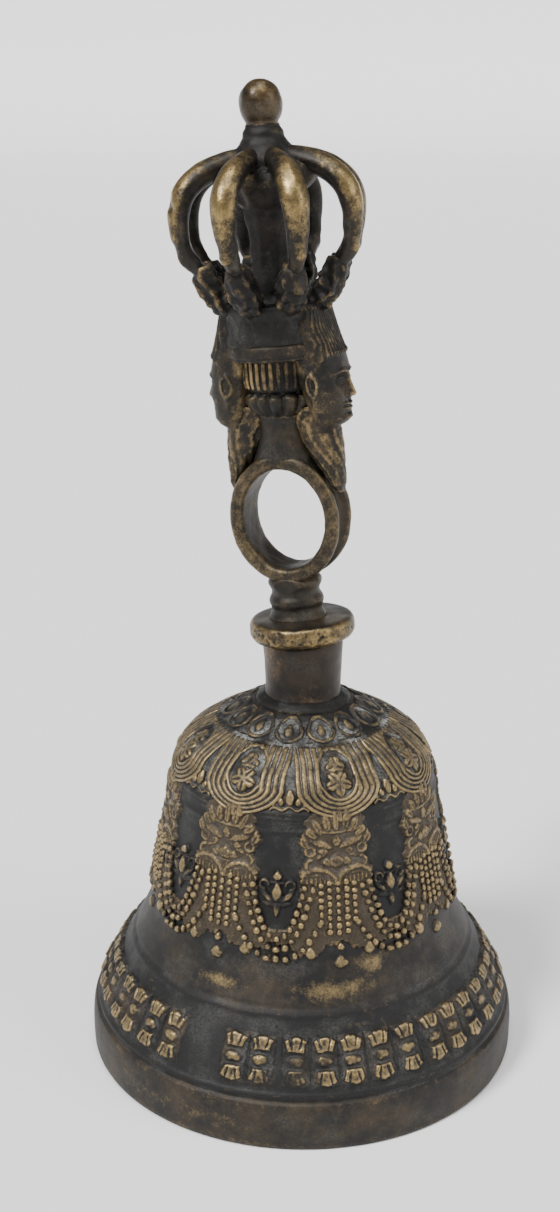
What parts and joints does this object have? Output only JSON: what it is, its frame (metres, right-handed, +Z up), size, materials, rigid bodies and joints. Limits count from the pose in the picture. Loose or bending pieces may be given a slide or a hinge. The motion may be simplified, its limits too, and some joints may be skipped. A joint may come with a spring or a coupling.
{
  "type": "hand bell",
  "caption": "Cast bronze ritual hand bell with relief ornament, a leaning finger-ring handle with crowned heads and curved prongs, and an iron clapper inside.",
  "frame": {"origin": "centre of the circle that the lip stands on", "axes": "+Z up the bell's axis, Y along the finger ring's hole, the handle leans towards -X"},
  "size_m": [0.093, 0.093, 0.2027],
  "materials": {
    "bell_bronze": "aged cast bronze, dark in the hollows and rubbed on the raised ornament",
    "handle_bronze": "aged cast bronze, pitted, polished by the hand",
    "dark_bronze": "dark brown-black patina",
    "rubbed_brass": "rubbed bright on the high places",
    "pitch": "dark pitch filling",
    "iron": "forged iron, dark scale with some rust"
  },
  "bodies": {
    "bell": {"bell_body": "bell_bronze", "neck_foot_ring": "dark_bronze", "neck_sleeve": "bell_bronze", "pitch_fill": "pitch", "handle_tang": "iron", "collar_disc": "rubbed_brass", "stem_knop": "handle_bronze", "finger_ring": "handle_bronze", "ring_throat": "handle_bronze", "lotus_cup": "handle_bronze", "ribbed_drum": "dark_bronze", "diadem_band": "dark_bronze", "head_right": "handle_bronze", "head_left": "handle_bronze", "tress_right": "handle_bronze", "tress_left": "handle_bronze", "crown_seat": "dark_bronze", "core_post": "dark_bronze", "crown_hub": "dark_bronze", "finial_bead": "rubbed_brass", "makara_bud_1": "dark_bronze", "makara_bud_2": "dark_bronze", "makara_bud_3": "dark_bronze", "makara_bud_4": "dark_bronze", "makara_bud_5": "dark_bronze", "makara_bud_6": "dark_bronze", "makara_bud_7": "dark_bronze", "makara_bud_8": "dark_bronze", "prong_1": "rubbed_brass", "prong_2": "rubbed_brass", "prong_3": "rubbed_brass", "prong_4": "rubbed_brass", "prong_5": "rubbed_brass", "prong_6": "rubbed_brass", "prong_7": "rubbed_brass", "prong_8": "rubbed_brass", "clapper_staple": "iron"},
    "link": {"clapper_link": "iron"},
    "clapper": {"clapper": "iron"}
  },
  "joints": [
    {"name": "link_swing", "type": "hinge", "parent": "bell", "child": "link", "pos_m": [0, 0, 0.0658], "axis": [1, 0, 0], "range_deg": [-22, 22]},
    {"name": "clapper_swing", "type": "hinge", "parent": "link", "child": "clapper", "pos_m": [0, 0, 0.0609], "axis": [0, 1, 0], "range_deg": [-22, 22]}
  ]
}
